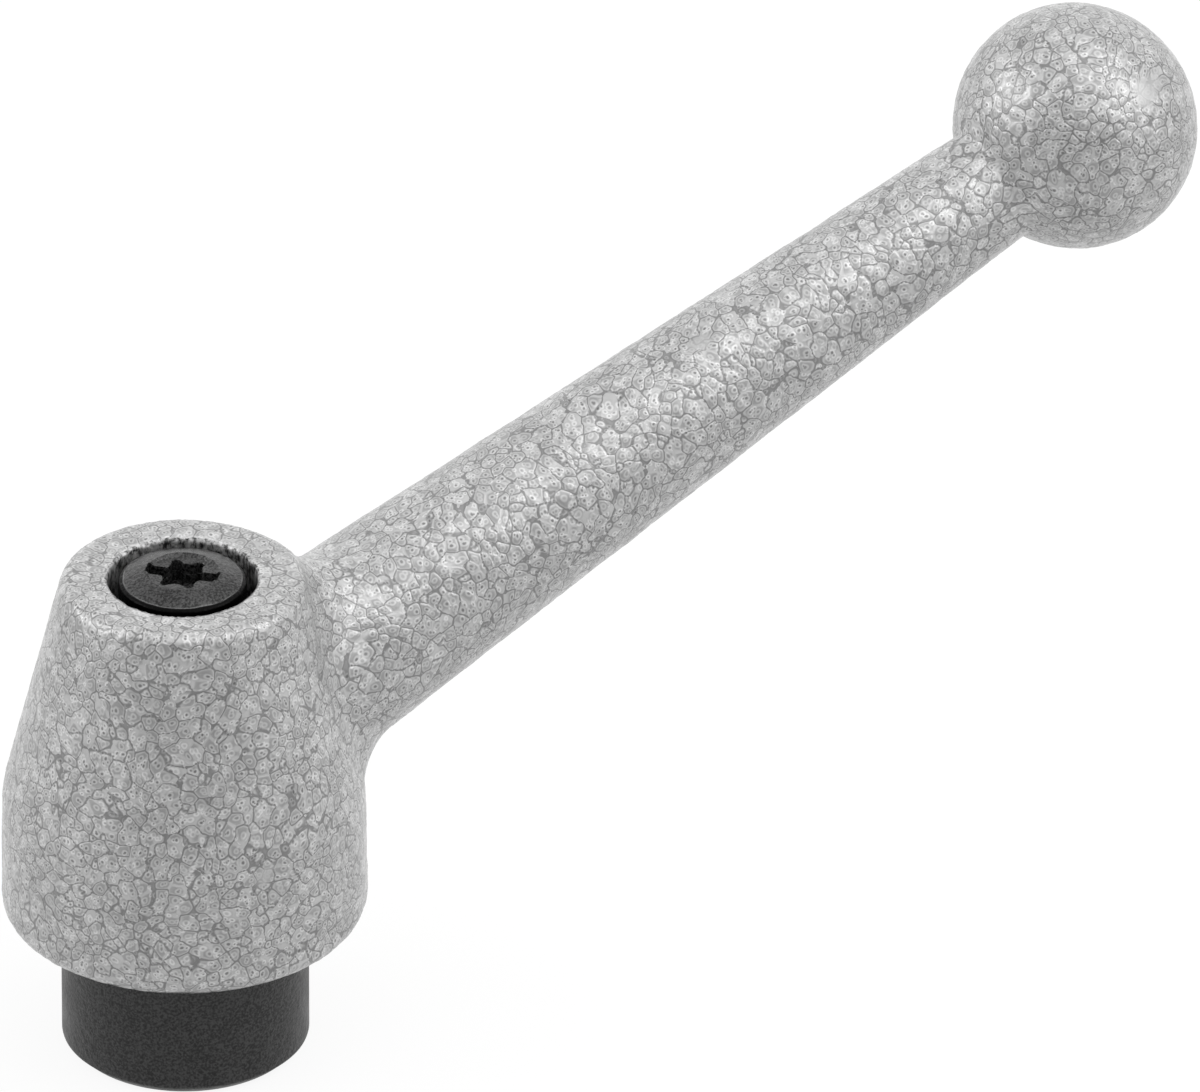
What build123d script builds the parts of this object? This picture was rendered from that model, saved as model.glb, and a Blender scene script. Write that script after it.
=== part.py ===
"""Adjustable clamping lever: a cast lever with a ball grip that indexes on a serrated steel insert.

The insert carries a blind M16 thread and is screwed onto the stud it clamps. Its serration meshes
with teeth inside the lever's hub. A retaining screw in the top of the insert holds a compression
spring, which keeps the teeth in mesh. Pulling the lever up compresses the spring and frees the
teeth, so the lever can be turned to a handier place and let down again.

Frame, in millimetres: Z is the thread axis and points up, the origin is the centre of the insert's
lower clamping face, and the arm runs along +X as it rises.
"""

from build123d import *
from math import cos, radians, sin, sqrt, tan
import os

# ---- Driving dimensions -----------------------------------------------------------------------

# Insert
insert_diameter = 24.0  # the collar that stands out below the hub
insert_edge_chamfer = 0.95
collar_exposed = 14.3  # from the clamping face up to the hub's lower face
collar_guide_length = 8.2  # the stretch of collar inside the hub
thread_core_diameter = 14.0  # tapping size of M16
thread_mouth_chamfer = 0.7
thread_depth = 17.5
drill_point_angle = 118.0
spigot_diameter = 19.0
spigot_length = 4.0

# Serration between insert and hub
tooth_count = 24
serration_length = 5.5
serration_root_diameter = 20.4
serration_tip_diameter = 22.6
tooth_root_width = 1.95
tooth_tip_width = 0.75
serration_lead_in = 0.6

# Lever hub
hub_height = 37.1
hub_bottom_diameter = 35.5
hub_shoulder_diameter = 35.1
hub_shoulder_height = 13.5  # above the hub's lower face, where the cylinder turns into a cone
hub_top_diameter = 23.3  # of the cone, at the height of the top face
hub_bottom_rounding = 2.1
hub_shoulder_rounding = 3.0
hub_top_rounding = 1.2
relief_depth = 0.3  # radial, past the gaps between the hub's teeth
spring_bore_diameter = 14.5
spring_bore_chamfer = 0.4
web_thickness = 3.0  # the floor of the spring bore, which seats on the insert's spigot

# Lever arm and ball
arm_angle = 20.0  # above the horizontal
arm_axis_height = 17.05  # where the arm's axis meets the hub's, above the hub's lower face
arm_reach = 103.5  # from the hub's axis to the ball's centre, measured level
arm_root_diameter = 20.2  # on the hub's axis
arm_end_diameter = 10.8  # at the ball's centre
arm_root_fillet = 6.0
ball_diameter = 23.9
ball_neck_fillet = 0.6

# Retaining screw
screw_thread_diameter = 6.0
screw_thread_length = 6.4
screw_end_chamfer = 0.6
shoulder_diameter = 7.5
shoulder_length = 16.2
head_diameter = 12.4
head_side_height = 2.6
head_edge_bevel_width = 0.45
head_edge_bevel_height = 0.4
head_dome_rise = 0.8
dish_diameter = 7.1
dish_depth = 0.3
dish_bevel_width = 0.35
lobe_recess_size = 5.6  # across opposite lobes
lobe_recess_waist = 3.96
lobe_tip_radius = 0.45
lobe_flute_radius = 1.19  # of the ribs between the lobes
lobe_recess_depth = 2.2
slot_length = 7.2
slot_width = 1.55
slot_depth = 1.2
recess_heading = -47.7  # of the slot, from the arm's direction

# Spring
spring_wire_diameter = 1.2  # across the corners of its section
spring_wire_side_count = 8  # the round wire is drawn with this many sides
spring_mean_diameter = 10.0
spring_turn_count = 5
spring_tip_thickness = 0.3  # left of the wire's end by grinding

# Clearances
running_clearance = 0.1  # radial, between hub and insert
tooth_clearance = 0.1  # on each flank
tooth_axial_clearance = 0.3
thread_clearance = 0.05  # radial, of the retaining screw in its tapped hole
shoulder_clearance = 0.25  # radial, of the screw's shoulder in the web
screw_end_clearance = 0.4  # below the screw, in its hole

# ---- Derived places -----------------------------------------------------------------------------

collar_top = collar_exposed + collar_guide_length
serration_top = collar_top + serration_length
spigot_top = serration_top + spigot_length
hub_bottom = collar_exposed
hub_top = hub_bottom + hub_height
web_top = spigot_top + web_thickness
head_bottom = spigot_top + shoulder_length
drill_cone_slope = tan(radians(drill_point_angle / 2))

arm_base = hub_bottom + arm_axis_height
arm_direction = (cos(radians(arm_angle)), 0, sin(radians(arm_angle)))
arm_axis = Axis((0, 0, arm_base), arm_direction)
arm_plane = Plane(origin=(0, 0, arm_base), x_dir=arm_direction, z_dir=(0, -1, 0))
ball_distance = arm_reach / cos(radians(arm_angle))
ball_centre = (arm_reach, 0, arm_base + arm_reach * tan(radians(arm_angle)))


def toothed_disc(grow_radius=0.0, grow_flank=0.0):
    """The serration's section in the current sketch, grown for the space that receives it."""
    root_radius = serration_root_diameter / 2 + grow_radius
    tip_radius = serration_tip_diameter / 2 + grow_radius
    half_root = tooth_root_width / 2 + grow_flank
    half_tip = tooth_tip_width / 2 + grow_flank
    foot_radius = sqrt(root_radius**2 - half_root**2)
    Circle(root_radius)
    with PolarLocations(0, tooth_count):
        Polygon(
            (0, -half_root),
            (foot_radius, -half_root),
            (tip_radius, -half_tip),
            (tip_radius, half_tip),
            (foot_radius, half_root),
            (0, half_root),
            align=None,
        )


# ---- Serrated insert ----------------------------------------------------------------------------

with BuildPart() as serrated_insert:
    # Collar and spigot
    with BuildSketch(Plane.XZ):
        collar_radius = insert_diameter / 2
        spigot_radius = spigot_diameter / 2
        Polygon(
            (0, 0),
            (collar_radius - insert_edge_chamfer, 0),
            (collar_radius, insert_edge_chamfer),
            (collar_radius, collar_top),
            (spigot_radius, collar_top),
            (spigot_radius, spigot_top),
            (0, spigot_top),
            align=None,
        )
    revolve(axis=Axis.Z)
    # Serration, with a lead-in bevel round the top of its teeth
    with BuildSketch(Plane.XY.offset(collar_top)):
        toothed_disc()
    extrude(amount=serration_length)
    with BuildSketch(Plane.XZ):
        tip_radius = serration_tip_diameter / 2
        Polygon(
            (tip_radius - serration_lead_in, serration_top),
            (tip_radius + serration_lead_in, serration_top),
            (tip_radius + serration_lead_in, serration_top - 2 * serration_lead_in),
            align=None,
        )
    revolve(axis=Axis.Z, mode=Mode.SUBTRACT)
    # Blind thread from below, drawn at its core diameter, with the drill's point and a mouth bevel
    with BuildSketch(Plane.XZ):
        core_radius = thread_core_diameter / 2
        Polygon(
            (0, 0),
            (core_radius + thread_mouth_chamfer, 0),
            (core_radius, thread_mouth_chamfer),
            (core_radius, thread_depth),
            (0, thread_depth + core_radius / drill_cone_slope),
            align=None,
        )
    revolve(axis=Axis.Z, mode=Mode.SUBTRACT)
    # Tapped hole from above, for the retaining screw
    with BuildSketch(Plane.XZ):
        tapped_radius = screw_thread_diameter / 2 + thread_clearance
        tapped_bottom = spigot_top - screw_thread_length - screw_end_clearance
        Polygon(
            (0, spigot_top),
            (tapped_radius, spigot_top),
            (tapped_radius, tapped_bottom),
            (0, tapped_bottom - tapped_radius / drill_cone_slope),
            align=None,
        )
    revolve(axis=Axis.Z, mode=Mode.SUBTRACT)

# ---- Lever: hub, arm and ball in one casting ------------------------------------------------------

with BuildPart() as lever:
    # Hub: a short drafted cylinder under a cone. The cone stands past the top face here, and is
    # trimmed once the arm is blended in.
    with BuildSketch(Plane.XZ):
        cone_slope = (hub_shoulder_diameter - hub_top_diameter) / 2 / (hub_height - hub_shoulder_height)
        shoulder_z = hub_bottom + hub_shoulder_height
        stock_top = hub_top + 2 * arm_root_fillet
        stock_radius = hub_shoulder_diameter / 2 - cone_slope * (stock_top - shoulder_z)
        Polygon(
            (0, hub_bottom),
            (hub_bottom_diameter / 2, hub_bottom),
            (hub_shoulder_diameter / 2, shoulder_z),
            (stock_radius, stock_top),
            (0, stock_top),
            align=None,
        )
        fillet(vertices().sort_by(Axis.X)[-1], hub_bottom_rounding)
        shoulder_corner = vertices().sort_by_distance((hub_shoulder_diameter / 2, shoulder_z))[0]
        fillet(shoulder_corner, hub_shoulder_rounding)
    revolve(axis=Axis.Z)
    # Tapered arm, run on to the ball's centre, and the blend round its root
    with BuildSketch(arm_plane):
        Polygon(
            (0, 0),
            (ball_distance, 0),
            (ball_distance, arm_end_diameter / 2),
            (0, arm_root_diameter / 2),
            align=None,
        )
    revolve(axis=arm_axis)
    fillet(edges().filter_by(GeomType.BSPLINE), arm_root_fillet)
    # Ball, with a small blend at its neck
    with Locations(ball_centre):
        Sphere(ball_diameter / 2, rotation=(0, 90 - arm_angle, 0))
    fillet(edges(Select.NEW), ball_neck_fillet)
    # Top face and its rim
    with BuildSketch(Plane.XY.offset(hub_top)):
        Circle(hub_shoulder_diameter / 2)
    extrude(amount=stock_top - hub_top, mode=Mode.SUBTRACT)
    top_face = faces().filter_by(Plane.XY).sort_by(Axis.Z)[-1]
    fillet(top_face.edges(), hub_top_rounding)
    # Space for the insert: collar guide, teeth, relief around the spigot
    with BuildSketch(Plane.XZ):
        guide_radius = insert_diameter / 2 + running_clearance
        guide_top = collar_top + tooth_axial_clearance
        relief_radius = serration_tip_diameter / 2 + running_clearance + relief_depth
        Polygon(
            (0, hub_bottom),
            (guide_radius, hub_bottom),
            (guide_radius, guide_top),
            (0, guide_top),
            align=None,
        )
        Polygon(
            (0, serration_top),
            (relief_radius, serration_top),
            (relief_radius, spigot_top),
            (0, spigot_top),
            align=None,
        )
    revolve(axis=Axis.Z, mode=Mode.SUBTRACT)
    with BuildSketch(Plane.XY.offset(guide_top)):
        toothed_disc(running_clearance, tooth_clearance)
    extrude(amount=serration_top - guide_top, mode=Mode.SUBTRACT)
    # Hole for the screw's shoulder, and the spring bore above the web
    with Locations((0, 0, hub_top)):
        CounterBoreHole(
            radius=shoulder_diameter / 2 + shoulder_clearance,
            counter_bore_radius=spring_bore_diameter / 2,
            counter_bore_depth=hub_top - web_top,
            depth=hub_top - spigot_top,
        )
    bore_mouth = faces().filter_by(Plane.XY).sort_by(Axis.Z)[-1].inner_wires()[0]
    chamfer(bore_mouth.edges(), spring_bore_chamfer)

# ---- Retaining screw ------------------------------------------------------------------------------

with BuildPart() as retaining_screw:
    with BuildSketch(Plane.XZ):
        screw_end = spigot_top - screw_thread_length
        screw_radius = screw_thread_diameter / 2
        head_radius = head_diameter / 2
        side_top = head_bottom + head_side_height
        dome_foot = side_top + head_edge_bevel_height
        dome_top = dome_foot + head_dome_rise
        dish_floor = dome_top - dish_depth
        dome_foot_radius = head_radius - head_edge_bevel_width
        dish_radius = dish_diameter / 2
        # the dome's sphere is centred on the axis, and passes through its foot and the dish's rim
        dome_centre_drop = (dome_foot_radius**2 - dish_radius**2 - head_dome_rise**2) / 2 / head_dome_rise
        dome_radius = sqrt(dome_foot_radius**2 + dome_centre_drop**2)
        with BuildLine():
            Polyline(
                (dome_foot_radius, dome_foot),
                (head_radius, side_top),
                (head_radius, head_bottom),
                (shoulder_diameter / 2, head_bottom),
                (shoulder_diameter / 2, spigot_top),
                (screw_radius, spigot_top),
                (screw_radius, screw_end + screw_end_chamfer),
                (screw_radius - screw_end_chamfer, screw_end),
                (0, screw_end),
                (0, dish_floor),
                (dish_radius - dish_bevel_width, dish_floor),
                (dish_radius, dome_top),
            )
            RadiusArc((dish_radius, dome_top), (dome_foot_radius, dome_foot), dome_radius)
        make_face()
    revolve(axis=Axis.Z)
    # Drive recess: six lobes and a straight slot in line with two of them
    with BuildSketch(Plane.XY.offset(dome_top).rotated((0, 0, recess_heading))):
        Circle(lobe_recess_size / 2 - lobe_tip_radius)
        with PolarLocations(lobe_recess_waist / 2 + lobe_flute_radius, 6, start_angle=30):
            Circle(lobe_flute_radius, mode=Mode.SUBTRACT)
        with PolarLocations(lobe_recess_size / 2 - lobe_tip_radius, 6):
            Circle(lobe_tip_radius)
    extrude(amount=-(dish_depth + lobe_recess_depth), mode=Mode.SUBTRACT)
    with BuildSketch(Plane.XY.offset(dome_top).rotated((0, 0, recess_heading))):
        Rectangle(slot_length, slot_width)
    extrude(amount=-(dish_depth + slot_depth), mode=Mode.SUBTRACT)

# ---- Compression spring ---------------------------------------------------------------------------

with BuildPart() as compression_spring:
    wire_start = web_top + spring_tip_thickness - spring_wire_diameter / 2
    wire_finish = head_bottom - spring_tip_thickness + spring_wire_diameter / 2
    wire_rise = wire_finish - wire_start
    with BuildLine() as coil:
        Helix(wire_rise / spring_turn_count, wire_rise, spring_mean_diameter / 2, center=(0, 0, wire_start))
    with BuildSketch(Plane(origin=coil.line @ 0, z_dir=coil.line % 0)):
        RegularPolygon(spring_wire_diameter / 2, spring_wire_side_count)
    sweep(path=coil.line, is_frenet=True)
    # Both ends are ground flat
    split(bisect_by=Plane.XY.offset(web_top), keep=Keep.TOP)
    split(bisect_by=Plane.XY.offset(head_bottom), keep=Keep.BOTTOM)

# ---- Files ----------------------------------------------------------------------------------------

serrated_insert.part.label = "serrated_insert"
lever.part.label = "lever"
retaining_screw.part.label = "retaining_screw"
compression_spring.part.label = "compression_spring"

os.makedirs("parts", exist_ok=True)
export_step(serrated_insert.part, "parts/serrated_insert.step")
export_step(lever.part, "parts/lever.step")
export_step(retaining_screw.part, "parts/retaining_screw.step")
export_step(compression_spring.part, "parts/compression_spring.step")
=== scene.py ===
"""Looks of the adjustable clamping lever: hammertone casting, blackened insert and screw, spring.

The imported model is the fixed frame. Each piece is rebuilt as a fine mesh on the CAD solid's form,
in metres, and gets a procedural material.
"""

import math

import bmesh
import bpy
import numpy as np
from mathutils import Matrix, Vector


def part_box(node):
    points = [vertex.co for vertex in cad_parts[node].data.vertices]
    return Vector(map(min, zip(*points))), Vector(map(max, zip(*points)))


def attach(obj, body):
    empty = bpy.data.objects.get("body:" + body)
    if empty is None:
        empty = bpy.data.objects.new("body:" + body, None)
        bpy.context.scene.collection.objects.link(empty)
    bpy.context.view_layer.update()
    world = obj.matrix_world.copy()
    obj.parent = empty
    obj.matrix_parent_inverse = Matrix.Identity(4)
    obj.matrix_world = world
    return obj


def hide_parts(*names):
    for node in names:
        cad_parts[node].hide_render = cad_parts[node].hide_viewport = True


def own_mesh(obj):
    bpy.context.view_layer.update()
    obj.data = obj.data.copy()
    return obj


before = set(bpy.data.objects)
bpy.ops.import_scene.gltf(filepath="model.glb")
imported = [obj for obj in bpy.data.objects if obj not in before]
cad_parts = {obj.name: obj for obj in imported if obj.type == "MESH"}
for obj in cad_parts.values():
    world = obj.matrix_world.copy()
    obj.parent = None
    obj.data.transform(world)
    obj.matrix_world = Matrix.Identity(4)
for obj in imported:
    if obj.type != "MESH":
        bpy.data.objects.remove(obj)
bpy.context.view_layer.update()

MM = 0.001  # metres in a millimetre; lengths below are in millimetres

# ---- Sizes, as in the CAD model -------------------------------------------------------------------

lever_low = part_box("lever")[0] / MM
insert_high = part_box("serrated_insert")[1] / MM
screw_low, screw_high = (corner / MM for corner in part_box("retaining_screw"))
spring_low, spring_high = (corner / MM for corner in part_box("compression_spring"))

INSERT_RADIUS = insert_high.x
INSERT_EDGE_CHAMFER = 0.95
COLLAR_TOP = 22.5
THREAD_CORE_RADIUS = 7.0
THREAD_ROOT_RADIUS = 8.0
THREAD_PITCH = 2.0
THREAD_FULL_DEPTH = 15.0
THREAD_BORE_DEPTH = 17.5
DRILL_POINT_SLOPE = math.tan(math.radians(59))
SPIGOT_TOP = insert_high.z
SPIGOT_RADIUS = 9.5
TOOTH_COUNT = 24
TOOTH_ROOT_RADIUS = 10.2
TOOTH_TIP_RADIUS = 11.3
TOOTH_ROOT_HALF_WIDTH = 0.975
TOOTH_TIP_HALF_WIDTH = 0.375
SERRATION_TOP = 28.0
SERRATION_LEAD_IN = 0.6

HUB_BOTTOM = lever_low.z
HUB_TOP = 51.4
HUB_BOTTOM_RADIUS = 17.75
HUB_SHOULDER_RADIUS = 17.55
HUB_SHOULDER_Z = 27.8
HUB_TOP_RADIUS = 11.65
HUB_BOTTOM_ROUNDING = 2.1
HUB_SHOULDER_SOFTNESS = 0.25
HUB_TOP_ROUNDING = 1.2
SPRING_BORE_RADIUS = 7.25
SPRING_BORE_ROUNDING = 0.4
GUIDE_RADIUS = 12.1
GUIDE_ROUNDING = 0.25
UPPER_MOUTH_Z = 40.0  # above this height lies the mouth of the spring bore
LOWER_MOUTH_Z = 20.0  # below this height lies the mouth of the guide

ARM_ANGLE = math.radians(20.0)
ARM_BASE_Z = 31.35
ARM_ROOT_RADIUS = 10.1
ARM_END_RADIUS = 5.4
ARM_ROOT_FILLET = 6.0
BALL_RADIUS = 12.05
BALL_TIP_FLATTENING = 0.35
BALL_NECK_FILLET = 0.7
BALL_REACH = 103.5
BALL_DISTANCE = BALL_REACH / math.cos(ARM_ANGLE)

CASTING_MESH_SPACING = 0.425
PAINT_RELIEF = 0.05
CAST_SWELL = 0.16

SCREW_RADIUS = 3.0
SCREW_THREAD_PITCH = 1.0
SCREW_THREAD_CORE = 2.45
SCREW_END = screw_low.z
SHOULDER_RADIUS = 3.75
HEAD_BOTTOM = 48.2
HEAD_RADIUS = screw_high.x
HEAD_SIDE_TOP = 50.8
DOME_FOOT_RADIUS = 5.75
DOME_FOOT_Z = 51.2
DOME_TOP_Z = screw_high.z
DISH_RADIUS = 3.55
DISH_BEVEL_WIDTH = 0.35
DISH_DEPTH = 0.3
LOBE_OUTER = 2.8
LOBE_TIP_RADIUS = 0.45
LOBE_WAIST = 1.98
LOBE_FLUTE_RADIUS = 1.19
LOBE_DEPTH = 2.2
SLOT_HALF_LENGTH = 3.6
SLOT_HALF_WIDTH = 0.775
SLOT_DEPTH = 1.2
RECESS_HEADING = math.radians(-47.7)

WIRE_RADIUS = 0.6
COIL_RADIUS = 5.0
SPRING_TURNS = 5
SPRING_TIP = 0.3

# ---- Mesh helpers -------------------------------------------------------------------------------


def new_object(name, vertices_mm, faces, smooth=True):
    """A mesh object from points in millimetres."""
    mesh = bpy.data.meshes.new(name)
    mesh.from_pydata((np.asarray(vertices_mm) * MM).tolist(), [], faces)
    mesh.validate()
    mesh.update()
    mesh.polygons.foreach_set("use_smooth", [smooth] * len(mesh.polygons))
    piece = bpy.data.objects.new(name, mesh)
    bpy.context.scene.collection.objects.link(piece)
    return piece


def loft(name, start_z, rings, finish_z, angles, sharp_degrees=35):
    """A closed surface through rings of (radius, z), each a number or one value per angle.
    It starts and finishes at a point on the Z axis."""
    count = len(angles)
    rows = []
    for radius, z in rings:
        radius = np.broadcast_to(radius, count)
        z = np.broadcast_to(z, count)
        rows.append(np.column_stack([radius * np.cos(angles), radius * np.sin(angles), z]))
    vertices = np.vstack([[[0, 0, start_z]], *rows, [[0, 0, finish_z]]])
    here = np.arange(count)
    following = (here + 1) % count
    faces = [(0, 1 + j, 1 + i) for i, j in zip(here, following)]
    for row in range(len(rows) - 1):
        low = 1 + row * count
        high = low + count
        faces += [
            (low + i, low + j, high + j, high + i) for i, j in zip(here.tolist(), following.tolist())
        ]
    last = len(vertices) - 1
    top = last - count
    faces += [(top + i, top + j, last) for i, j in zip(here.tolist(), following.tolist())]
    piece = new_object(name, vertices, [tuple(int(v) for v in face) for face in faces])
    shade_by_angle(piece, sharp_degrees)
    return piece


def shade_by_angle(piece, degrees):
    """Smooth shading, with edges sharper than this angle left crisp."""
    mesh = piece.data
    work = bmesh.new()
    work.from_mesh(mesh)
    bmesh.ops.recalc_face_normals(work, faces=work.faces)
    limit = math.radians(degrees)
    for edge in work.edges:
        edge.smooth = len(edge.link_faces) != 2 or edge.calc_face_angle(0) < limit
    work.to_mesh(mesh)
    work.free()


def helical_profile(angles, z, pitch, crest, root):
    """Radius of a 60 degree thread at one height: crest at its flat, root in its groove."""
    phase = (z / pitch - angles / (2 * math.pi)) % 1.0
    across = np.abs(phase - 0.5) * 2  # 0 in the middle of the groove, 1 in the middle of the crest
    ramp = np.clip((across - 0.125) / 0.625, 0, 1)
    return root + (crest - root) * ramp


# ---- Lever: the casting's outer form as distances ---------------------------------------------------


def rounded_corner(a, b, radius):
    """Where both distances have to be negative: their intersection, its edge rounded."""
    outside = np.hypot(np.maximum(a + radius, 0), np.maximum(b + radius, 0))
    return np.minimum(-radius, np.maximum(a, b)) + outside


def softened_corner(a, b, softness):
    """As rounded_corner, for two faces that are almost in line."""
    near = np.maximum(softness - np.abs(a - b), 0)
    return np.maximum(a, b) + near**2 / (4 * softness)


def gradient(distance, points):
    """Direction in which a distance grows."""
    step = 0.01
    columns = []
    for axis in range(3):
        shift = np.zeros(3)
        shift[axis] = step
        columns.append((distance(points + shift) - distance(points - shift)) / (2 * step))
    return np.column_stack(columns)


def filleted_union(distance_a, distance_b, radius, points):
    """Two forms joined with a rolling-ball fillet."""
    a, b = distance_a(points), distance_b(points)
    normal_a, normal_b = gradient(distance_a, points), gradient(distance_b, points)
    lengths = np.linalg.norm(normal_a, axis=1) * np.linalg.norm(normal_b, axis=1)
    cosine = np.clip(np.sum(normal_a * normal_b, axis=1) / np.maximum(lengths, 1e-9), -0.95, 0.95)
    da, db = radius - a, radius - b
    to_centre = np.sqrt(np.maximum(da**2 + db**2 - 2 * cosine * da * db, 0) / (1 - cosine**2))
    in_fillet = (da - cosine * db > 0) & (db - cosine * da > 0)
    return np.where(in_fillet, np.minimum(radius - to_centre, np.minimum(a, b)), np.minimum(a, b))


def hub_stock(points):
    """Cylinder, cone and lower face of the hub, without its top face."""
    radius = np.hypot(points[:, 0], points[:, 1])
    z = points[:, 2]
    draft = (HUB_BOTTOM_RADIUS - HUB_SHOULDER_RADIUS) / (HUB_SHOULDER_Z - HUB_BOTTOM)
    slope = (HUB_SHOULDER_RADIUS - HUB_TOP_RADIUS) / (HUB_TOP - HUB_SHOULDER_Z)
    side = (radius - HUB_SHOULDER_RADIUS + draft * (z - HUB_SHOULDER_Z)) / math.hypot(1, draft)
    cone = (radius - HUB_SHOULDER_RADIUS + slope * (z - HUB_SHOULDER_Z)) / math.hypot(1, slope)
    wall = softened_corner(side, cone, HUB_SHOULDER_SOFTNESS)
    return rounded_corner(wall, HUB_BOTTOM - z, HUB_BOTTOM_ROUNDING)


def along_arm(points):
    """Distance along the arm's axis and away from it."""
    x, y = points[:, 0], points[:, 1]
    z = points[:, 2] - ARM_BASE_Z
    along = x * math.cos(ARM_ANGLE) + z * math.sin(ARM_ANGLE)
    across = z * math.cos(ARM_ANGLE) - x * math.sin(ARM_ANGLE)
    return along, np.hypot(across, y)


def arm_form(points):
    along, away = along_arm(points)
    taper = (ARM_ROOT_RADIUS - ARM_END_RADIUS) / BALL_DISTANCE
    cone = (away - ARM_ROOT_RADIUS + taper * along) / math.hypot(1, taper)
    return np.maximum(cone, np.maximum(-along, along - BALL_DISTANCE))


def ball_form(points):
    along, away = along_arm(points)
    beyond = along - BALL_DISTANCE
    stretch = np.where(beyond > 0, BALL_RADIUS / (BALL_RADIUS - BALL_TIP_FLATTENING), 1.0)
    return np.hypot(beyond * stretch, away) - BALL_RADIUS


def blended_stock(points):
    return filleted_union(hub_stock, arm_form, ARM_ROOT_FILLET, points)


def casting_form(points):
    """The whole casting with the mouths of its two bores."""
    radius = np.hypot(points[:, 0], points[:, 1])
    z = points[:, 2]
    stock = blended_stock(points)
    faced = rounded_corner(stock, z - HUB_TOP, HUB_TOP_ROUNDING)
    stock = np.where(radius < HUB_SHOULDER_RADIUS, faced, stock)
    along, away = along_arm(points)
    ball = ball_form(points)
    neck = filleted_union(arm_form, ball_form, BALL_NECK_FILLET, points)
    stock = np.where(along > BALL_DISTANCE / 2, np.minimum(neck, ball), stock)
    upper = rounded_corner(stock, SPRING_BORE_RADIUS - radius, SPRING_BORE_ROUNDING)
    lower = rounded_corner(stock, GUIDE_RADIUS - radius, GUIDE_ROUNDING)
    return np.where(z > UPPER_MOUTH_Z, upper, np.where(z < LOWER_MOUTH_Z, lower, stock))


def points_of(mesh):
    """A mesh's vertices as rows of x, y and z in millimetres."""
    points = np.empty(len(mesh.vertices) * 3)
    mesh.vertices.foreach_get("co", points)
    return points.reshape(-1, 3) / MM


def remeshed(source, voxel_mm):
    """A copy of a CAD node's mesh as an even grid of small quads."""
    mesh = source.data.copy()
    weld = bmesh.new()
    weld.from_mesh(mesh)
    bmesh.ops.remove_doubles(weld, verts=weld.verts, dist=1e-6)
    weld.to_mesh(mesh)
    weld.free()
    holder = bpy.data.objects.new("remesh_source", mesh)
    bpy.context.scene.collection.objects.link(holder)
    modifier = holder.modifiers.new("even_grid", "REMESH")
    modifier.mode = "VOXEL"
    modifier.voxel_size = voxel_mm * MM
    modifier.adaptivity = 0
    view = bpy.context.evaluated_depsgraph_get()
    result = bpy.data.meshes.new_from_object(holder.evaluated_get(view))
    bpy.data.objects.remove(holder)
    return result


def lever_piece():
    """The casting: its outside is drawn onto the smooth form, its inside stays as remeshed."""
    mesh = remeshed(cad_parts["lever"], CASTING_MESH_SPACING)
    mesh.name = "lever_casting"
    points = points_of(mesh)
    radius = np.hypot(points[:, 0], points[:, 1])
    z = points[:, 2]
    inner = (radius < GUIDE_RADIUS + 0.6) & (z > LOWER_MOUTH_Z - 2) & (z < UPPER_MOUTH_Z + 2)
    moved = points[~inner]
    for _ in range(4):
        slope = gradient(casting_form, moved)
        square = np.maximum(np.sum(slope**2, axis=1), 0.2)
        step = casting_form(moved)[:, None] * slope / square[:, None]
        moved = moved - np.clip(step, -0.3, 0.3)
    points[~inner] = moved
    mesh.vertices.foreach_set("co", (points * MM).ravel())
    mesh.update()
    mesh.polygons.foreach_set("use_smooth", [True] * len(mesh.polygons))
    piece = bpy.data.objects.new("lever_casting", mesh)
    bpy.context.scene.collection.objects.link(piece)
    return piece


# ---- Serrated insert ------------------------------------------------------------------------------


def toothed_radius(angles):
    """Outline of the serration at each angle."""
    pitch = 2 * math.pi / TOOTH_COUNT
    offset = np.abs((angles + pitch / 2) % pitch - pitch / 2)
    root_angle = TOOTH_ROOT_HALF_WIDTH / TOOTH_ROOT_RADIUS
    tip_angle = TOOTH_TIP_HALF_WIDTH / TOOTH_TIP_RADIUS
    share = np.clip((root_angle - offset) / (root_angle - tip_angle), 0, 1)
    return TOOTH_ROOT_RADIUS + (TOOTH_TIP_RADIUS - TOOTH_ROOT_RADIUS) * share


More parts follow.
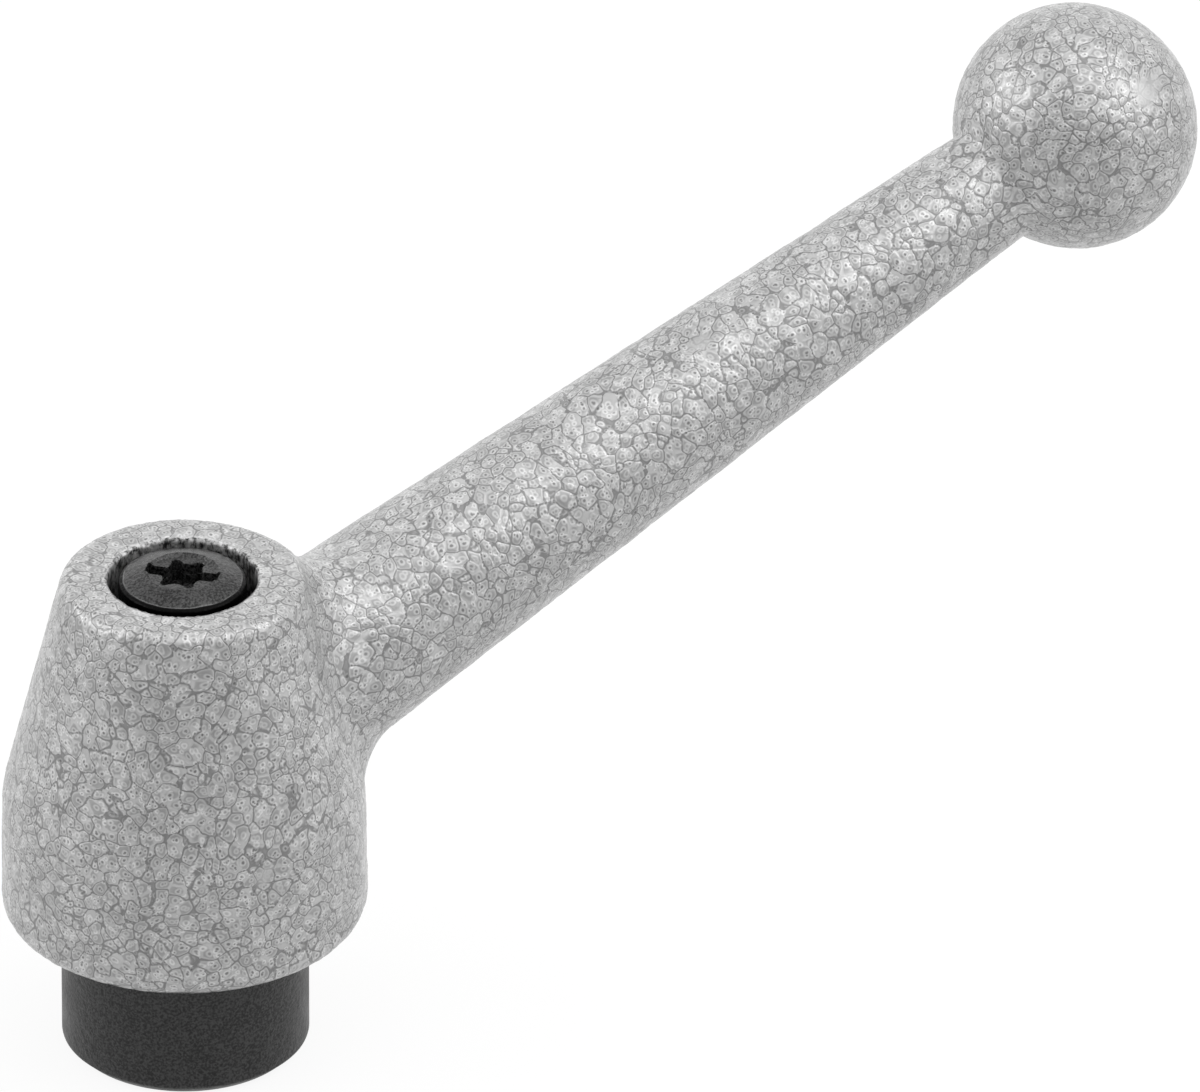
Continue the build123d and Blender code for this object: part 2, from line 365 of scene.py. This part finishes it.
def insert_piece():
    """The turned insert: rings from the drill's point, out round the foot and in to the tapped hole."""
    count = TOOTH_COUNT * 12
    angles = np.arange(count) * 2 * math.pi / count
    teeth = toothed_radius(angles)
    rings = []
    # blind thread, from the drill's point down to the mouth
    drill_tip = THREAD_BORE_DEPTH + THREAD_CORE_RADIUS / DRILL_POINT_SLOPE
    rings.append((THREAD_CORE_RADIUS / 2, THREAD_BORE_DEPTH + THREAD_CORE_RADIUS / 2 / DRILL_POINT_SLOPE))
    rings.append((THREAD_CORE_RADIUS, THREAD_BORE_DEPTH))
    mouth_radius = THREAD_ROOT_RADIUS + 0.15
    for z in np.arange(THREAD_FULL_DEPTH + THREAD_PITCH, -1e-6, -THREAD_PITCH / 12):
        fade = min(1.0, max(0.0, (THREAD_FULL_DEPTH + THREAD_PITCH - z) / THREAD_PITCH))
        thread = helical_profile(angles, z, THREAD_PITCH, THREAD_CORE_RADIUS, THREAD_ROOT_RADIUS)
        cut = THREAD_CORE_RADIUS + (thread - THREAD_CORE_RADIUS) * fade
        rings.append((np.maximum(cut, mouth_radius - z), max(z, 0.0)))
    # lower face, chamfer and collar
    rings.append((mouth_radius + 0.1, 0))
    rings.append((INSERT_RADIUS - INSERT_EDGE_CHAMFER - 0.12, 0))
    rings.append((INSERT_RADIUS - INSERT_EDGE_CHAMFER, 0.04))
    rings.append((INSERT_RADIUS - 0.04, INSERT_EDGE_CHAMFER - 0.04))
    rings.append((INSERT_RADIUS, INSERT_EDGE_CHAMFER + 0.12))
    for z in np.linspace(INSERT_EDGE_CHAMFER + 1, COLLAR_TOP - 0.15, 10):
        rings.append((INSERT_RADIUS, z))
    rings.append((INSERT_RADIUS - 0.15, COLLAR_TOP))
    # serration with its lead-in
    rings.append((teeth + 0.02, COLLAR_TOP))
    rings.append((teeth, COLLAR_TOP + 0.02))
    lead_in_foot = SERRATION_TOP - SERRATION_LEAD_IN * 2
    for z in np.linspace(lead_in_foot, SERRATION_TOP, 5):
        limit = TOOTH_TIP_RADIUS - (z - lead_in_foot) / 2
        rings.append((np.minimum(teeth, max(limit, TOOTH_ROOT_RADIUS)), z))
    # spigot and the tapped hole for the screw
    rings.append((SPIGOT_RADIUS, SERRATION_TOP))
    rings.append((SPIGOT_RADIUS, SPIGOT_TOP - 0.2))
    rings.append((SPIGOT_RADIUS - 0.2, SPIGOT_TOP))
    hole_radius = SCREW_RADIUS + 0.05
    hole_bottom = SCREW_END - 0.4
    rings.append((hole_radius, SPIGOT_TOP))
    rings.append((hole_radius, hole_bottom))
    return loft("insert_turned", drill_tip, rings, hole_bottom - hole_radius / DRILL_POINT_SLOPE, angles)


# ---- Retaining screw --------------------------------------------------------------------------------


def lobe_outline(angles):
    """Six-lobe recess: radius at each angle from a lobe's middle."""
    sixth = math.pi / 3
    from_lobe = np.abs((angles + sixth / 2) % sixth - sixth / 2)
    from_flute = sixth / 2 - from_lobe
    tip_centre = LOBE_OUTER - LOBE_TIP_RADIUS
    reach = LOBE_TIP_RADIUS**2 - (tip_centre * np.sin(from_lobe)) ** 2
    tip = np.where(reach > 0, tip_centre * np.cos(from_lobe) + np.sqrt(np.maximum(reach, 0)), 0)
    flute_centre = LOBE_WAIST + LOBE_FLUTE_RADIUS
    reach = LOBE_FLUTE_RADIUS**2 - (flute_centre * np.sin(from_flute)) ** 2
    flute = flute_centre * np.cos(from_flute) - np.sqrt(np.maximum(reach, 0))
    return np.maximum(tip, np.where(reach > 0, np.minimum(flute, tip_centre), tip_centre))


def slot_outline(angles):
    """Straight slot: radius at each angle from its length."""
    ends = SLOT_HALF_LENGTH / np.maximum(np.abs(np.cos(angles)), 1e-6)
    sides = SLOT_HALF_WIDTH / np.maximum(np.abs(np.sin(angles)), 1e-6)
    return np.minimum(ends, sides)


def head_height(radius):
    """Height of the screw's domed head and its dish at a radius."""
    dome_drop = (DOME_FOOT_RADIUS**2 - DISH_RADIUS**2 - (DOME_TOP_Z - DOME_FOOT_Z) ** 2) / (
        2 * (DOME_TOP_Z - DOME_FOOT_Z)
    )
    sphere = math.hypot(DOME_FOOT_RADIUS, dome_drop)
    dome = DOME_FOOT_Z - dome_drop + np.sqrt(np.maximum(sphere**2 - radius**2, 0))
    bevel = DOME_TOP_Z - (DISH_RADIUS - radius) * DISH_DEPTH / DISH_BEVEL_WIDTH
    dish = np.maximum(bevel, DOME_TOP_Z - DISH_DEPTH)
    return np.where(radius > DISH_RADIUS, dome, dish)


def screw_piece():
    """The screw: rings from its end up its outside, over the domed head and down into the recess."""
    count = 480
    angles = np.arange(count) * 2 * math.pi / count
    turned = angles - RECESS_HEADING
    lobes = lobe_outline(turned)
    recess = np.maximum(lobes, slot_outline(turned))
    inner = np.minimum(lobes, recess - 0.02)
    rings = [(SCREW_RADIUS - 0.9, SCREW_END)]
    for z in np.arange(SCREW_END + 0.05, SPIGOT_TOP - 0.3, SCREW_THREAD_PITCH / 10):
        thread = helical_profile(angles, z, SCREW_THREAD_PITCH, SCREW_RADIUS, SCREW_THREAD_CORE)
        rings.append((np.minimum(thread, SCREW_RADIUS - 0.6 + z - SCREW_END), z))
    rings.append((SCREW_THREAD_CORE, SPIGOT_TOP - 0.25))
    rings.append((SCREW_THREAD_CORE, SPIGOT_TOP))
    rings.append((SHOULDER_RADIUS - 0.1, SPIGOT_TOP))
    rings.append((SHOULDER_RADIUS, SPIGOT_TOP + 0.1))
    rings.append((SHOULDER_RADIUS, HEAD_BOTTOM - 0.2))
    rings.append((SHOULDER_RADIUS + 0.2, HEAD_BOTTOM))
    rings.append((HEAD_RADIUS - 0.3, HEAD_BOTTOM))
    rings.append((HEAD_RADIUS, HEAD_BOTTOM + 0.3))
    # edge of the head, rounded into the dome
    edge_width = HEAD_RADIUS - DOME_FOOT_RADIUS
    edge_height = DOME_FOOT_Z - HEAD_SIDE_TOP
    for turn in np.linspace(0, math.pi / 2, 7)[:-1]:
        radius = HEAD_RADIUS - edge_width * (1 - math.cos(turn))
        rings.append((radius, HEAD_SIDE_TOP + edge_height * math.sin(turn) * 0.9))
    for radius in np.linspace(DOME_FOOT_RADIUS, DISH_RADIUS + 0.12, 12):
        rings.append((radius, head_height(radius)))
    # from the dish's rim in to the recess, whose edge is broken a little
    for share in np.linspace(0, 1, 16):
        radius = (DISH_RADIUS + 0.1) * (1 - share) + (recess + 0.06) * share
        rings.append((radius, head_height(radius)))
    surface = head_height(recess)
    rings.append((recess, surface - 0.07))
    floor = DOME_TOP_Z - DISH_DEPTH - SLOT_DEPTH
    rings.append((recess, (surface + floor) / 2))
    rings.append((recess, floor))
    rings.append((inner, floor - 0.01))
    deep = DOME_TOP_Z - DISH_DEPTH - LOBE_DEPTH
    rings.append((inner, deep))
    rings.append((inner * 0.5, deep - 0.2))
    return loft("screw_headed", SCREW_END, rings, deep - 0.35, angles)


# ---- Compression spring -------------------------------------------------------------------------------


def spring_piece():
    """The coil of round wire, ground flat at both ends."""
    low, high = spring_low.z, spring_high.z
    start = low + SPRING_TIP - WIRE_RADIUS
    rise = high - low - 2 * SPRING_TIP + 2 * WIRE_RADIUS
    around, steps = 20, SPRING_TURNS * 60
    lead = math.atan(rise / (SPRING_TURNS * 2 * math.pi * COIL_RADIUS))
    section = np.arange(around) * 2 * math.pi / around
    vertices = []
    for step in range(steps + 1):
        angle = 2 * math.pi * SPRING_TURNS * step / steps
        out = np.array([math.cos(angle), math.sin(angle), 0])
        level = np.array([-math.sin(angle), math.cos(angle), 0])
        along = level * math.cos(lead) + np.array([0, 0, math.sin(lead)])
        up = np.cross(out, along)
        centre = out * COIL_RADIUS + np.array([0, 0, start + rise * step / steps])
        ring = centre + WIRE_RADIUS * (np.outer(np.cos(section), out) + np.outer(np.sin(section), up))
        vertices.append(ring)
    vertices = np.vstack(vertices)
    vertices[:, 2] = np.clip(vertices[:, 2], low, high)
    faces = []
    for step in range(steps):
        for i in range(around):
            j = (i + 1) % around
            here, there = step * around, (step + 1) * around
            faces.append((here + i, there + i, there + j, here + j))
    faces.append(tuple(range(around)))
    faces.append(tuple(steps * around + i for i in reversed(range(around))))
    piece = new_object("spring_coil", vertices, faces)
    shade_by_angle(piece, 40)
    return piece


# ---- Node helpers -------------------------------------------------------------------------------------


class Tree:
    """Short names for adding and wiring nodes, in a shader or a geometry tree."""

    def __init__(self, nodes, links):
        self.nodes = nodes
        self.links = links

    def add(self, kind, inputs=(), output=0, **settings):
        node = self.nodes.new(kind)
        for name, value in settings.items():
            setattr(node, name, value)
        for key, value in dict(inputs).items():
            if isinstance(value, bpy.types.NodeSocket):
                self.links.new(value, node.inputs[key])
            else:
                node.inputs[key].default_value = value
        return node.outputs[output]

    def math(self, operation, a, b=0.0):
        return self.add("ShaderNodeMath", {0: a, 1: b}, operation=operation)

    def multiply_add(self, value, factor, addend):
        return self.add("ShaderNodeMath", {0: value, 1: factor, 2: addend}, operation="MULTIPLY_ADD")

    def smooth_step(self, value, low, high, start=0.0, finish=1.0):
        keys = {"Value": value, "From Min": low, "From Max": high, "To Min": start, "To Max": finish}
        return self.add("ShaderNodeMapRange", keys, interpolation_type="SMOOTHSTEP", clamp=True)


def noise(tree, position, per_metre, detail=2.0, roughness=0.5, output="Fac"):
    keys = {"Vector": position, "Scale": per_metre, "Detail": detail, "Roughness": roughness}
    return tree.add("ShaderNodeTexNoise", keys, output=output)


def cells(tree, position, spacing_mm, feature):
    """Voronoi cells: outputs Distance (in spacings), Color and Position."""
    keys = {"Vector": position, "Scale": 1 / (spacing_mm * MM), "Randomness": 0.95}
    return tree.add("ShaderNodeTexVoronoi", keys, feature=feature).node.outputs


def vector_math(tree, operation, a, b=(0, 0, 0), output=0, scale=1.0):
    keys = {0: a, "Scale": scale} if operation == "SCALE" else {0: a, 1: b}
    return tree.add("ShaderNodeVectorMath", keys, output=output, operation=operation)


def pushed(tree, position, per_metre, amount_mm, detail):
    """A position moved about by a noise, to bend what is drawn on it."""
    wander = noise(tree, position, per_metre, detail=detail, output="Color")
    centred = vector_math(tree, "SUBTRACT", wander, (0.5, 0.5, 0.5))
    return vector_math(tree, "ADD", position, vector_math(tree, "SCALE", centred, scale=amount_mm * MM))


CELL_SIZE = 1.15  # mean spacing of the paint's cells, in millimetres
CLUMP_SIZE = 2.15  # mean spacing of the clumps that the cells are gathered in
STRAY_SPACING = 1.0  # mean spacing of the dark specks that lie off a cell's middle


def hammertone(tree, position):
    """The paint's pattern, shared by the relief and the colour. The depth is how far a point lies
    inside its cell, in millimetres. The rift is 1 between cells of two clumps and 0 within a clump.
    The pool is 1 where the paint ran together and hides the cells; there the colour is also lifted a
    little, a painted sheen."""
    bent = pushed(tree, position, per_metre=150.0, amount_mm=2.2, detail=1.0)
    warped = pushed(tree, bent, per_metre=800.0, amount_mm=0.4, detail=1.0)
    own = cells(tree, warped, CELL_SIZE, "F1")
    next_one = cells(tree, warped, CELL_SIZE, "F2")
    across = tree.math("MULTIPLY", tree.math("SUBTRACT", next_one["Distance"], own["Distance"]), 0.6)
    own_clump = cells(tree, own["Position"], CLUMP_SIZE, "F1")
    next_clump = cells(tree, next_one["Position"], CLUMP_SIZE, "F1")
    apart = vector_math(tree, "DISTANCE", own_clump["Color"], next_clump["Color"], output="Value")
    rift = tree.math("GREATER_THAN", apart, 0.01)
    reach = tree.multiply_add(rift, -0.2, 1.03)
    inward = tree.math("SUBTRACT", reach, own["Distance"])
    rounded = tree.add("ShaderNodeMath", {0: across, 1: inward, 2: 0.2}, operation="SMOOTH_MIN")
    return {
        "depth": tree.math("MULTIPLY", rounded, CELL_SIZE),
        "rift": rift,
        "middle": own["Position"],
        "chance": own["Color"],
        "pool_and_sheen": tree.smooth_step(noise(tree, position, 150.0, detail=1.0), 0.73, 0.8),
        "warped": warped,
    }


def relief_height(tree, pattern):
    """Height of the paint, from 0 in the grooves to 1 on top of the cells."""
    groove = tree.smooth_step(pattern["depth"], 0.0, 0.25)
    valley = tree.smooth_step(pattern["depth"], 0.0, 0.55, 1.0, 0.0)
    deep = tree.math("MULTIPLY", valley, pattern["rift"])
    lost = tree.math("SUBTRACT", tree.math("MULTIPLY", groove, 0.4), tree.math("MULTIPLY", deep, 0.6))
    kept = tree.math("SUBTRACT", 1.0, tree.math("MULTIPLY", pattern["pool_and_sheen"], 0.85))
    return tree.math("ADD", 0.6, tree.math("MULTIPLY", lost, kept))


def raise_paint(piece):
    """Moves the casting's outer skin by the paint's relief and a slow swell, and applies both."""
    group = bpy.data.node_groups.new("paint_relief", "GeometryNodeTree")
    group.interface.new_socket("Geometry", in_out="INPUT", socket_type="NodeSocketGeometry")
    group.interface.new_socket("Geometry", in_out="OUTPUT", socket_type="NodeSocketGeometry")
    tree = Tree(group.nodes, group.links)
    source = group.nodes.new("NodeGroupInput").outputs[0]
    position = tree.add("GeometryNodeInputPosition")
    height = relief_height(tree, hammertone(tree, position))
    swell = tree.math("SUBTRACT", noise(tree, position, 230.0, detail=1.0), 0.5)
    level = tree.math("MULTIPLY", tree.math("SUBTRACT", height, 0.7), PAINT_RELIEF * MM)
    level = tree.math("ADD", level, tree.math("MULTIPLY", swell, CAST_SWELL * MM))
    outer = tree.add("GeometryNodeInputNamedAttribute", {"Name": "painted"}, data_type="FLOAT")
    level = tree.math("MULTIPLY", level, outer)
    normal = tree.add("GeometryNodeInputNormal")
    offset = vector_math(tree, "SCALE", normal, scale=level)
    moved = tree.add("GeometryNodeSetPosition", {"Geometry": source, "Offset": offset})
    target = group.nodes.new("NodeGroupOutput")
    group.links.new(moved, target.inputs[0])
    modifier = piece.modifiers.new("paint_relief", "NODES")
    modifier.node_group = group
    view = bpy.context.evaluated_depsgraph_get()
    mesh = bpy.data.meshes.new_from_object(piece.evaluated_get(view))
    piece.modifiers.remove(modifier)
    piece.data = mesh


def mark_painted(piece):
    """A point attribute: 1 on the painted outside, 0 in the machined bores."""
    mesh = piece.data
    points = points_of(mesh)
    radius = np.hypot(points[:, 0], points[:, 1])
    z = points[:, 2]
    upper = np.clip((radius - SPRING_BORE_RADIUS - 0.05) / 0.3, 0, 1)
    lower = np.clip((radius - GUIDE_RADIUS - 0.1) / 0.3, 0, 1)
    painted = np.where(z > UPPER_MOUTH_Z, upper, np.where(radius < GUIDE_RADIUS + 1, lower, 1.0))
    attribute = mesh.attributes.new("painted", "FLOAT", "POINT")
    attribute.data.foreach_set("value", painted.astype(np.float32))


# ---- Materials ----------------------------------------------------------------------------------------


def new_material(name):
    material = bpy.data.materials.new(name)
    material.use_nodes = True
    nodes = material.node_tree.nodes
    tree = Tree(nodes, material.node_tree.links)
    return material, tree, nodes["Principled BSDF"]


def mix_grey(tree, factor, dark, light):
    """A grey between two levels."""
    level = tree.add("ShaderNodeMapRange", {"Value": factor, "To Min": dark, "To Max": light})
    return tree.add("ShaderNodeCombineColor", {0: level, 1: level, 2: level})


def hammertone_paint():
    material, tree, shader = new_material("hammertone_paint")
    position = tree.add("ShaderNodeTexCoord", output="Object")
    normal = tree.add("ShaderNodeNewGeometry", output="Normal")
    pattern = hammertone(tree, position)

    def distance_along_surface(point):
        away = vector_math(tree, "SUBTRACT", point, pattern["warped"])
        sideways = vector_math(tree, "CROSS_PRODUCT", away, normal)
        return tree.math("DIVIDE", vector_math(tree, "LENGTH", sideways, output="Value"), MM)

    # dark seams between clumps, and painted shade in the valleys beside them
    depth, rift = pattern["depth"], pattern["rift"]
    seam = tree.math("MULTIPLY", tree.smooth_step(depth, 0.0, 0.12, 1.0, 0.0), rift)
    seam = tree.math("MULTIPLY", seam, tree.smooth_step(depth, -0.14, 0.0, 0.45, 1.0))
    valley = tree.math("MULTIPLY", tree.smooth_step(depth, -0.15, 0.25, 1.0, 0.0), rift)
    # a pale ring in each cell's edge, and dark specks with pale rings of their own
    rim = tree.smooth_step(depth, 0.1, 0.24, 1.0, 0.0)
    edge = tree.math("MULTIPLY", tree.smooth_step(depth, 0.04, 0.1, 1.0, 0.0), rift)
    ring = tree.math("MULTIPLY", rim, tree.math("SUBTRACT", 1.0, edge))
    chance = tree.add("ShaderNodeSeparateXYZ", {0: pattern["chance"]})
    from_middle = distance_along_surface(pattern["middle"])
    stray = cells(tree, pattern["warped"], STRAY_SPACING, "F1")
    from_stray = tree.math("ADD", distance_along_surface(stray["Position"]), 0.05)
    from_speck = tree.math("MINIMUM", from_middle, from_stray)
    speck = tree.smooth_step(from_speck, 0.07, 0.2, 1.0, 0.0)
    speck = tree.math("MULTIPLY", speck, tree.smooth_step(chance, 0.0, 0.9, 0.35, 1.0))
    halo = tree.smooth_step(from_speck, 0.24, 0.36, 1.0, 0.0)
    moat = tree.math(
        "MULTIPLY",
        tree.smooth_step(from_speck, 0.26, 0.4),
        tree.smooth_step(from_speck, 0.4, 0.55, 1.0, 0.0),
    )
    # where the paint pooled, the pattern all but fades, and the colour is lifted a little as a painted
    # sheen
    pool_and_sheen = pattern["pool_and_sheen"]
    clear = tree.math("SUBTRACT", 1.0, tree.math("MULTIPLY", pool_and_sheen, 0.75))

    def darkened(level, share, amount):
        loss = tree.math("MULTIPLY", tree.math("MULTIPLY", share, amount), clear)
        return tree.math("MULTIPLY", level, tree.math("SUBTRACT", 1.0, loss))

    pale = tree.math("ADD", tree.math("MULTIPLY", ring, 0.15), tree.math("MULTIPLY", halo, 0.14))
    level = tree.multiply_add(pale, clear, 0.333)
    # painted sheen: the colour is lifted where the paint pooled
    level = tree.multiply_add(pool_and_sheen, 0.08, level)
    level = darkened(level, speck, 0.66)
    level = darkened(level, moat, 0.08)
    level = darkened(level, seam, 0.34)
    # painted shade in the valleys between clumps
    level = darkened(level, valley, 0.14)
    drift = noise(tree, position, 260.0, detail=3.0)
    level = tree.math("MULTIPLY", level, tree.smooth_step(drift, 0.3, 0.7, 0.93, 1.07))
    # inside the bores the paint ends in a ragged edge over dark bare metal
    painted = tree.add("ShaderNodeAttribute", output="Fac", attribute_name="painted")
    # a painted highlight: a pale line along the paint's edge at the mouths of the bores
    lip_highlight = tree.math(
        "MULTIPLY",
        tree.smooth_step(painted, 0.35, 0.7),
        tree.smooth_step(painted, 0.8, 0.99, 1.0, 0.0),
    )
    level = tree.multiply_add(lip_highlight, 0.1, level)
    upright = vector_math(tree, "MULTIPLY", position, (1.0, 1.0, 0.5))
    streaks = noise(tree, upright, 1900.0, detail=4.0, roughness=0.65)
    ragged = tree.math("ADD", painted, tree.math("MULTIPLY", streaks, 0.8))
    painted = tree.smooth_step(ragged, 0.75, 0.95)
    bare = tree.smooth_step(streaks, 0.38, 0.62, 0.02, 0.5)
    level = tree.add("ShaderNodeMix", {0: painted, 2: bare, 3: level})
    colour = tree.add("ShaderNodeCombineColor", {0: level, 1: level, 2: level})
    # relief too fine for the mesh
    fine = noise(tree, position, 1500.0, detail=2.0)
    relief = relief_height(tree, pattern)
    swell = noise(tree, position, 330.0, detail=1.0)
    height = tree.multiply_add(fine, 0.11, relief)
    height = tree.multiply_add(swell, 3.0, height)
    bump = tree.add("ShaderNodeBump", {"Height": height, "Strength": 0.7, "Distance": 0.1 * MM})
    tree.links.new(colour, shader.inputs["Base Color"])
    tree.links.new(bump, shader.inputs["Normal"])
    shader.inputs["Metallic"].default_value = 0.45
    shader.inputs["Roughness"].default_value = 0.38
    shader.inputs["Coat Weight"].default_value = 0.55
    shader.inputs["Coat Roughness"].default_value = 0.16
    return material


def blackened_steel(name, level, roughness, rim_radius=None):
    """Black-oxidised steel. Outside the rim's radius, if there is one, it is painted black and dull as
    painted shade, with a thin painted highlight at the rim.
    """
    material, tree, shader = new_material(name)
    position = tree.add("ShaderNodeTexCoord", output="Object")
    grain = noise(tree, position, 4200.0, detail=3.0)
    cloud = noise(tree, position, 350.0, detail=3.0)
    share = tree.math("ADD", tree.math("MULTIPLY", grain, 0.82), tree.math("MULTIPLY", cloud, 0.18))
    share = tree.smooth_step(share, 0.38, 0.62)
    colour = mix_grey(tree, share, 0.0, level * 2)
    if rim_radius:
        flat = vector_math(tree, "MULTIPLY", position, (1 / MM, 1 / MM, 0.0))
        radius = vector_math(tree, "LENGTH", flat, output="Value")
        patchy = tree.math("MULTIPLY", tree.math("SUBTRACT", cloud, 0.5), 0.35)
        radius = tree.math("ADD", radius, patchy)
        # painted shade: outside the rim the head's side is painted black and made dull
        outside = tree.smooth_step(radius, rim_radius - 0.02, rim_radius + 0.12)
        # painted highlight: a thin pale ring at the rim
        rim_highlight = tree.math(
            "MULTIPLY",
            tree.smooth_step(radius, rim_radius - 0.1, rim_radius - 0.02),
            tree.smooth_step(radius, rim_radius, rim_radius + 0.08, 1.0, 0.0),
        )
        rim_highlight = tree.math("MULTIPLY", rim_highlight, tree.smooth_step(cloud, 0.4, 0.6, 0.01, 0.09))
        colour = vector_math(tree, "SCALE", colour, scale=tree.math("SUBTRACT", 1.0, outside))
        colour = vector_math(tree, "ADD", colour, rim_highlight)
        gloss = tree.smooth_step(outside, 0.0, 1.0, 0.6, 0.1)
        tree.links.new(gloss, shader.inputs["Specular IOR Level"])
    rough = tree.smooth_step(cloud, 0.3, 0.7, roughness * 0.9, roughness * 1.15)
    pitted = tree.math("ADD", grain, tree.math("MULTIPLY", noise(tree, position, 1400.0), 2.0))
    bump = tree.add("ShaderNodeBump", {"Height": pitted, "Strength": 0.8, "Distance": 0.06 * MM})
    tree.links.new(colour, shader.inputs["Base Color"])
    tree.links.new(rough, shader.inputs["Roughness"])
    tree.links.new(bump, shader.inputs["Normal"])
    shader.inputs["Metallic"].default_value = 0.4
    shader.inputs["Specular IOR Level"].default_value = 0.6
    return material


def spring_steel():
    material, tree, shader = new_material("spring_steel")
    position = tree.add("ShaderNodeTexCoord", output="Object")
    drawn = noise(tree, position, 1800.0, detail=2.0)
    tree.links.new(mix_grey(tree, drawn, 0.22, 0.34), shader.inputs["Base Color"])
    shader.inputs["Metallic"].default_value = 0.95
    shader.inputs["Roughness"].default_value = 0.3
    return material


# ---- Pieces ---------------------------------------------------------------------------------------------

lever = lever_piece()
mark_painted(lever)
raise_paint(lever)
lever.data.materials.clear()
lever.data.materials.append(hammertone_paint())
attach(lever, "lever_body")
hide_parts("lever")

insert = insert_piece()
insert.data.materials.append(blackened_steel("blackened_steel", 0.02, 0.4))
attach(insert, "insert_body")
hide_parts("serrated_insert")

screw = screw_piece()
screw.data.materials.append(blackened_steel("blackened_screw", 0.028, 0.24, DOME_FOOT_RADIUS))
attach(screw, "insert_body")
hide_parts("retaining_screw")

spring = spring_piece()
spring.data.materials.append(spring_steel())
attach(spring, "spring_body")
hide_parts("compression_spring")
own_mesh(spring)

# ---- Floor, lights and camera ---------------------------------------------------------------------------


def floor_material(white_share):
    """A grey sheet that the camera sees as white, with the lever's faint shadow on it."""
    material, tree, shader = new_material("pale_floor")
    path = tree.nodes.new("ShaderNodeLightPath")
    seen, mirrored = path.outputs["Is Camera Ray"], path.outputs["Is Glossy Ray"]
    tree.links.new(mix_grey(tree, seen, 0.5, 0.98), shader.inputs["Base Color"])
    shader.inputs["Roughness"].default_value = 1.0
    shader.inputs["Specular IOR Level"].default_value = 0.0
    white = tree.add("ShaderNodeEmission", {"Color": (1, 1, 1, 1), "Strength": 1.0})
    factor = tree.math("MULTIPLY", seen, white_share)
    factor = tree.math("MAXIMUM", factor, tree.math("MULTIPLY", mirrored, white_share * 0.85))
    mixed = tree.add("ShaderNodeMixShader", {0: factor, 1: shader.outputs[0], 2: white})
    tree.links.new(mixed, tree.nodes["Material Output"].inputs["Surface"])
    return material


def floor_piece():
    half = 3000.0
    corners = [(-half, -half, 0), (half, -half, 0), (half, half, 0), (-half, half, 0)]
    floor = new_object("floor", corners, [(0, 1, 2, 3)], smooth=False)
    floor.data.materials.append(floor_material(white_share=0.9))


def direction_to(azimuth, elevation):
    """Unit vector to a place round the lever, in degrees: azimuth from -Y towards +X."""
    a, e = math.radians(azimuth), math.radians(elevation)
    return Vector((math.sin(a) * math.cos(e), -math.cos(a) * math.cos(e), math.sin(e)))


def softbox(name, azimuth, elevation, distance_mm, width_mm, height_mm, power):
    """An area lamp that looks at the middle of the lever from an azimuth and elevation in degrees."""
    lamp = bpy.data.lights.new(name, "AREA")
    lamp.shape = "RECTANGLE"
    lamp.size = width_mm * MM
    lamp.size_y = height_mm * MM
    lamp.energy = power
    holder = bpy.data.objects.new(name, lamp)
    away = direction_to(azimuth, elevation)
    aim = Vector((45, 0, 45)) * MM
    holder.location = aim + away * distance_mm * MM
    holder.rotation_euler = away.to_track_quat("Z", "Y").to_euler()
    bpy.context.scene.collection.objects.link(holder)


def world_light():
    """A white tent with a darker opening, where a camera would stand."""
    world = bpy.data.worlds.new("studio")
    bpy.context.scene.world = world
    world.use_nodes = True
    nodes = world.node_tree.nodes
    tree = Tree(nodes, world.node_tree.links)
    path = nodes.new("ShaderNodeLightPath")
    ambient = nodes["Background"]
    direction = tree.add("ShaderNodeTexCoord", output="Generated")
    opening = direction_to(azimuth=-35, elevation=13)
    towards = vector_math(tree, "DOT_PRODUCT", direction, opening, output="Value")
    level = tree.smooth_step(towards, math.cos(math.radians(48)), math.cos(math.radians(37)), 1.0, 0.42)
    tree.links.new(level, ambient.inputs["Strength"])
    ambient.inputs["Color"].default_value = (1, 1, 1, 1)
    white = tree.add("ShaderNodeBackground", {"Color": (1, 1, 1, 1), "Strength": 1.0})
    mixed = tree.add(
        "ShaderNodeMixShader", {0: path.outputs["Is Camera Ray"], 1: ambient.outputs[0], 2: white}
    )
    tree.links.new(mixed, nodes["World Output"].inputs["Surface"])


def place_camera():
    """A long lens, almost parallel, from above and to the left of the arm."""
    back = direction_to(azimuth=-33.2, elevation=30.54)
    right = Vector((-back.y, back.x, 0)).normalized()
    up = back.cross(right)
    aim = (right * 40.2 + up * 47.2) * MM
    distance = 3.29
    camera = bpy.data.cameras.new("camera")
    camera.lens = 1017.0
    camera.sensor_width = 36.0
    camera.clip_end = 100.0
    holder = bpy.data.objects.new("camera", camera)
    turned = Matrix((right, up, back)).transposed().to_4x4()
    holder.matrix_world = Matrix.Translation(aim + back * distance) @ turned
    bpy.context.scene.collection.objects.link(holder)
    bpy.context.scene.camera = holder


floor_piece()
world_light()
softbox("right", azimuth=50, elevation=43, distance_mm=500, width_mm=270, height_mm=450, power=0.56)
softbox("overhead", azimuth=20, elevation=66, distance_mm=600, width_mm=650, height_mm=650, power=0.86)
softbox("left", azimuth=-122, elevation=33, distance_mm=1200, width_mm=650, height_mm=750, power=3.4)
place_camera()
bpy.context.scene.view_settings.view_transform = "Standard"

bpy.context.view_layer.update()
